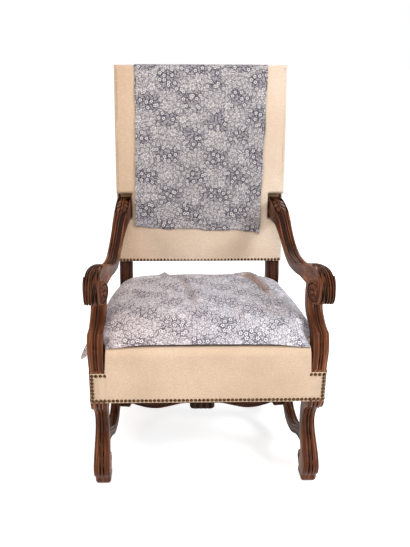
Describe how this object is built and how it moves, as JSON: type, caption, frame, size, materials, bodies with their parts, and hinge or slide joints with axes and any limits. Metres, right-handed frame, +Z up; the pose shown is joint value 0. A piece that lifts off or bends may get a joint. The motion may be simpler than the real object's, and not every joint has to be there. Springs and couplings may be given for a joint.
{
  "type": "upholstered armchair",
  "caption": "High-backed armchair with S-curved carved wooden legs and scrolled arms, linen seat and back with brass nailing, a loose printed cushion and a printed cloth over the back.",
  "frame": {"origin": "middle of the overall depth and width, at floor level", "axes": "+X to the right as seen from in front, +Y backwards, +Z up"},
  "size_m": [0.6474, 0.6891, 1.132],
  "materials": {
    "carved_walnut": "satin wax polish, dark reddish brown",
    "beech_frame": "plain planed",
    "steel_screw": "plain",
    "jute_web": "woven jute",
    "hessian": "open plain weave",
    "horsehair": "stuffing in scrim",
    "linen": "beige linen weave",
    "antique_brass": "aged domed heads",
    "dust_fabric": "thin black cotton",
    "printed_cotton": "off-white cotton with a small slate-blue sprig print"
  },
  "bodies": {
    "root": {"arm_dowels": "beech_frame", "arm_left": "carved_walnut", "arm_right": "carved_walnut", "arm_screws": "steel_screw", "arm_support_left": "carved_walnut", "arm_support_right": "carved_walnut", "back_bottom_rail": "beech_frame", "back_cloth": "printed_cotton", "back_front_cover": "linen", "back_front_nails": "antique_brass", "back_hessian": "hessian", "back_pad": "horsehair", "back_rail_pegs": "beech_frame", "back_rear_cover": "linen", "back_rear_nails": "antique_brass", "back_top_rail": "beech_frame", "back_webs_level": "jute_web", "back_webs_upright": "jute_web", "corner_blocks": "beech_frame", "corner_screws": "steel_screw", "cross_stretcher_left": "carved_walnut", "cross_stretcher_right": "carved_walnut", "dust_cloth": "dust_fabric", "front_leg_left": "carved_walnut", "front_leg_right": "carved_walnut", "front_rail": "beech_frame", "rail_pegs": "beech_frame", "rear_post_left": "carved_walnut", "rear_post_right": "carved_walnut", "rear_rail": "beech_frame", "seat_cover": "linen", "seat_cushion": "printed_cotton", "seat_hessian": "hessian", "seat_nails": "antique_brass", "seat_pad": "horsehair", "seat_rear_nails": "antique_brass", "seat_webs_crosswise": "jute_web", "seat_webs_lengthwise": "jute_web", "side_rail_left": "beech_frame", "side_rail_right": "beech_frame", "side_stretcher_left": "carved_walnut", "side_stretcher_right": "carved_walnut", "stretcher_boss": "carved_walnut", "stretcher_pegs": "carved_walnut"}
  },
  "joints": []
}
